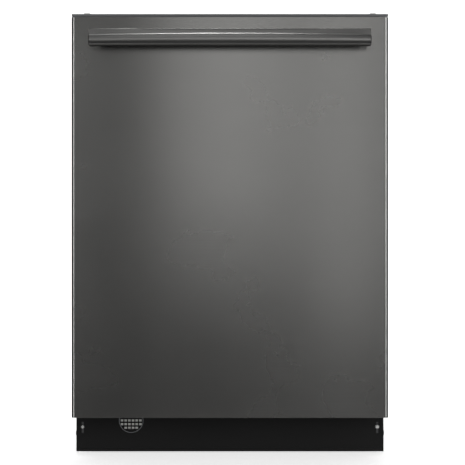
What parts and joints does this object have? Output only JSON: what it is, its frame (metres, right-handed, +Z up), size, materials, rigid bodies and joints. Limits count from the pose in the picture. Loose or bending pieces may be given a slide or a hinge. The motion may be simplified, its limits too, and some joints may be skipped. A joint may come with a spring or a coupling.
{
  "type": "built-in dishwasher",
  "caption": "Built-in dishwasher with a plain dark steel door, full-width bar handle, hidden top controls, steel tub, sliding racks and spray arms.",
  "frame": {"origin": "on the floor, in the middle of the overall box", "axes": "+X to the right and +Y to the back as seen by someone in front of the door, +Z up"},
  "size_m": [0.606, 0.635, 0.862],
  "materials": {
    "black_steel": "horizontal brushing, satin, dark",
    "black_handle": "satin, dark",
    "stainless": "satin",
    "zinc_steel": "zinc plated",
    "black_paint": "satin",
    "dark_plastic": "matte",
    "grey_plastic": "matte",
    "light_plastic": "matte",
    "rack_coat": "nylon coated",
    "seal_rubber": "matte",
    "felt": "felt"
  },
  "bodies": {
    "cabinet": {"base_pan": "dark_plastic", "circulation_pump": "zinc_steel", "coarse_filter": "stainless", "door_gasket": "seal_rubber", "door_spring_left": "zinc_steel", "door_spring_right": "zinc_steel", "drain_pump": "dark_plastic", "front_frame": "zinc_steel", "heater": "stainless", "inlet_valve": "light_plastic", "kick_plate": "black_paint", "kick_screw_left": "zinc_steel", "kick_screw_right": "zinc_steel", "kick_vent": "light_plastic", "latch_strike": "zinc_steel", "mounting_bracket_left": "zinc_steel", "mounting_bracket_right": "zinc_steel", "sound_blanket": "felt", "spray_riser": "grey_plastic", "sump": "dark_plastic", "tub": "stainless", "upper_rail_left": "stainless", "upper_rail_right": "stainless"},
    "door": {"door_skin": "black_steel", "door_liner": "stainless", "control_console": "grey_plastic", "control_display": "dark_plastic", "door_insulation": "felt", "dispenser_housing": "grey_plastic", "handle_bar": "black_handle", "hinge_arm_left": "zinc_steel", "hinge_arm_right": "zinc_steel"},
    "latch_catch": {"latch_catch": "dark_plastic"},
    "dispenser_lid": {"dispenser_lid": "grey_plastic"},
    "rinse_cap": {"rinse_cap": "dark_plastic"},
    "spring_rod_left": {"spring_rod_left": "zinc_steel"},
    "spring_rod_right": {"spring_rod_right": "zinc_steel"},
    "lower_spray_arm": {"lower_spray_arm": "grey_plastic"},
    "upper_spray_arm": {"upper_spray_arm": "grey_plastic"},
    "fine_filter": {"fine_filter": "grey_plastic"},
    "overfill_float": {"overfill_float": "light_plastic"},
    "lower_rack": {"lower_rack": "rack_coat", "silverware_basket": "grey_plastic"},
    "folding_tines": {"folding_tines": "rack_coat"},
    "upper_rack": {"upper_rack": "rack_coat", "upper_feed_tube": "grey_plastic"},
    "upper_slide_left": {"upper_slide_left": "stainless"},
    "upper_slide_right": {"upper_slide_right": "stainless"},
    "power_button": {"power_button": "dark_plastic"},
    "cycle_button": {"cycle_button": "dark_plastic"},
    "delay_button": {"delay_button": "dark_plastic"},
    "start_button": {"start_button": "dark_plastic"},
    "foot_front_left": {"foot_front_left": "dark_plastic"},
    "foot_front_right": {"foot_front_right": "dark_plastic"},
    "foot_back_left": {"foot_back_left": "dark_plastic"},
    "foot_back_right": {"foot_back_right": "dark_plastic"},
    "rack_wheel_back_left": {"rack_wheel_back_left": "grey_plastic"},
    "rack_wheel_back_right": {"rack_wheel_back_right": "grey_plastic"},
    "rack_wheel_front_left": {"rack_wheel_front_left": "grey_plastic"},
    "rack_wheel_front_right": {"rack_wheel_front_right": "grey_plastic"}
  },
  "joints": [
    {"name": "door_hinge", "type": "hinge", "parent": "cabinet", "child": "door", "pos_m": [0, -0.2515, 0.105], "axis": [1, 0, 0], "range_deg": [0, 90], "stiffness_Nm_per_rad": 13},
    {"name": "power_button_press", "type": "slide", "parent": "door", "child": "power_button", "axis": [0, 0, -1], "range_m": [0, 0.0012], "stiffness_N_per_m": 900, "springref_m": -0.0006},
    {"name": "cycle_button_press", "type": "slide", "parent": "door", "child": "cycle_button", "axis": [0, 0, -1], "range_m": [0, 0.0012], "stiffness_N_per_m": 900, "springref_m": -0.0006},
    {"name": "delay_button_press", "type": "slide", "parent": "door", "child": "delay_button", "axis": [0, 0, -1], "range_m": [0, 0.0012], "stiffness_N_per_m": 900, "springref_m": -0.0006},
    {"name": "start_button_press", "type": "slide", "parent": "door", "child": "start_button", "axis": [0, 0, -1], "range_m": [0, 0.0012], "stiffness_N_per_m": 900, "springref_m": -0.0006},
    {"name": "latch_catch_pivot", "type": "hinge", "parent": "door", "child": "latch_catch", "pos_m": [0, -0.2485, 0.8268], "axis": [1, 0, 0], "range_deg": [0, 15], "stiffness_Nm_per_rad": 0.3, "springref_deg": -2.86},
    {"name": "dispenser_lid_slide", "type": "slide", "parent": "door", "child": "dispenser_lid", "axis": [0, 0, 1], "range_m": [0, 0.066]},
    {"name": "rinse_cap_turn", "type": "hinge", "parent": "door", "child": "rinse_cap", "pos_m": [0.056, -0.2171, 0.455], "axis": [0, 1, 0], "range_deg": [0, 90]},
    {"name": "spring_rod_left_slide", "type": "slide", "parent": "cabinet", "child": "spring_rod_left", "axis": [0, -1, 0], "range_m": [0, 0.0285], "deforming": ["door_spring_left"]},
    {"name": "spring_rod_right_slide", "type": "slide", "parent": "cabinet", "child": "spring_rod_right", "axis": [0, -1, 0], "range_m": [0, 0.0285], "deforming": ["door_spring_right"]},
    {"name": "lower_arm_spin", "type": "hinge", "parent": "cabinet", "child": "lower_spray_arm", "pos_m": [0, 0.0454, 0.16], "axis": [0, 0, 1], "continuous": true},
    {"name": "upper_arm_spin", "type": "hinge", "parent": "upper_rack", "child": "upper_spray_arm", "pos_m": [0, 0.0454, 0.464], "axis": [0, 0, 1], "continuous": true},
    {"name": "fine_filter_lock", "type": "hinge", "parent": "cabinet", "child": "fine_filter", "pos_m": [0.07, 0.0254, 0.14], "axis": [0, 0, 1], "range_deg": [0, 45]},
    {"name": "overfill_float_lift", "type": "slide", "parent": "cabinet", "child": "overfill_float", "axis": [0, 0, 1], "range_m": [0, 0.012]},
    {"name": "foot_front_left_screw", "type": "slide", "parent": "cabinet", "child": "foot_front_left", "axis": [0, 0, -1], "range_m": [0, 0.035]},
    {"name": "foot_front_right_screw", "type": "slide", "parent": "cabinet", "child": "foot_front_right", "axis": [0, 0, -1], "range_m": [0, 0.035]},
    {"name": "foot_back_left_screw", "type": "slide", "parent": "cabinet", "child": "foot_back_left", "axis": [0, 0, -1], "range_m": [0, 0.035]},
    {"name": "foot_back_right_screw", "type": "slide", "parent": "cabinet", "child": "foot_back_right", "axis": [0, 0, -1], "range_m": [0, 0.035]},
    {"name": "lower_rack_slide", "type": "slide", "parent": "cabinet", "child": "lower_rack", "axis": [0, -1, 0], "range_m": [0, 0.15808]},
    {"name": "rack_wheel_back_left_roll", "type": "hinge", "parent": "lower_rack", "child": "rack_wheel_back_left", "pos_m": [-0.239, 0.2023, 0.1574], "axis": [1, 0, 0], "continuous": true},
    {"name": "rack_wheel_back_right_roll", "type": "hinge", "parent": "lower_rack", "child": "rack_wheel_back_right", "pos_m": [0.239, 0.2023, 0.1574], "axis": [1, 0, 0], "continuous": true},
    {"name": "rack_wheel_front_left_roll", "type": "hinge", "parent": "lower_rack", "child": "rack_wheel_front_left", "pos_m": [-0.239, -0.1285, 0.1574], "axis": [1, 0, 0], "continuous": true},
    {"name": "rack_wheel_front_right_roll", "type": "hinge", "parent": "lower_rack", "child": "rack_wheel_front_right", "pos_m": [0.239, -0.1285, 0.1574], "axis": [1, 0, 0], "continuous": true},
    {"name": "folding_tines_hinge", "type": "hinge", "parent": "lower_rack", "child": "folding_tines", "pos_m": [0, 0.1104, 0.2], "axis": [1, 0, 0], "range_deg": [0, 85]},
    {"name": "upper_rack_slide", "type": "slide", "parent": "cabinet", "child": "upper_rack", "axis": [0, -1, 0], "range_m": [0, 0.451]},
    {"name": "upper_slide_left_slide", "type": "slide", "parent": "cabinet", "child": "upper_slide_left", "axis": [0, -1, 0], "range_m": [0, 0.2255]},
    {"name": "upper_slide_right_slide", "type": "slide", "parent": "cabinet", "child": "upper_slide_right", "axis": [0, -1, 0], "range_m": [0, 0.2255]}
  ],
  "couplings": [
    {"joint": "lower_rack_slide", "follows": "door_hinge", "m_per_rad": 0.1},
    {"joint": "rack_wheel_back_left_roll", "follows": "door_hinge", "ratio": 5.8824},
    {"joint": "rack_wheel_back_right_roll", "follows": "door_hinge", "ratio": 5.8824},
    {"joint": "rack_wheel_front_left_roll", "follows": "door_hinge", "ratio": 5.8824},
    {"joint": "rack_wheel_front_right_roll", "follows": "door_hinge", "ratio": 5.8824},
    {"joint": "upper_rack_slide", "follows": "door_hinge", "m_per_rad": 0.28648},
    {"joint": "upper_slide_left_slide", "follows": "door_hinge", "m_per_rad": 0.14324},
    {"joint": "spring_rod_left_slide", "follows": "door_hinge", "m_per_rad": 0.017825},
    {"joint": "upper_slide_right_slide", "follows": "door_hinge", "m_per_rad": 0.14324},
    {"joint": "spring_rod_right_slide", "follows": "door_hinge", "m_per_rad": 0.017825}
  ]
}
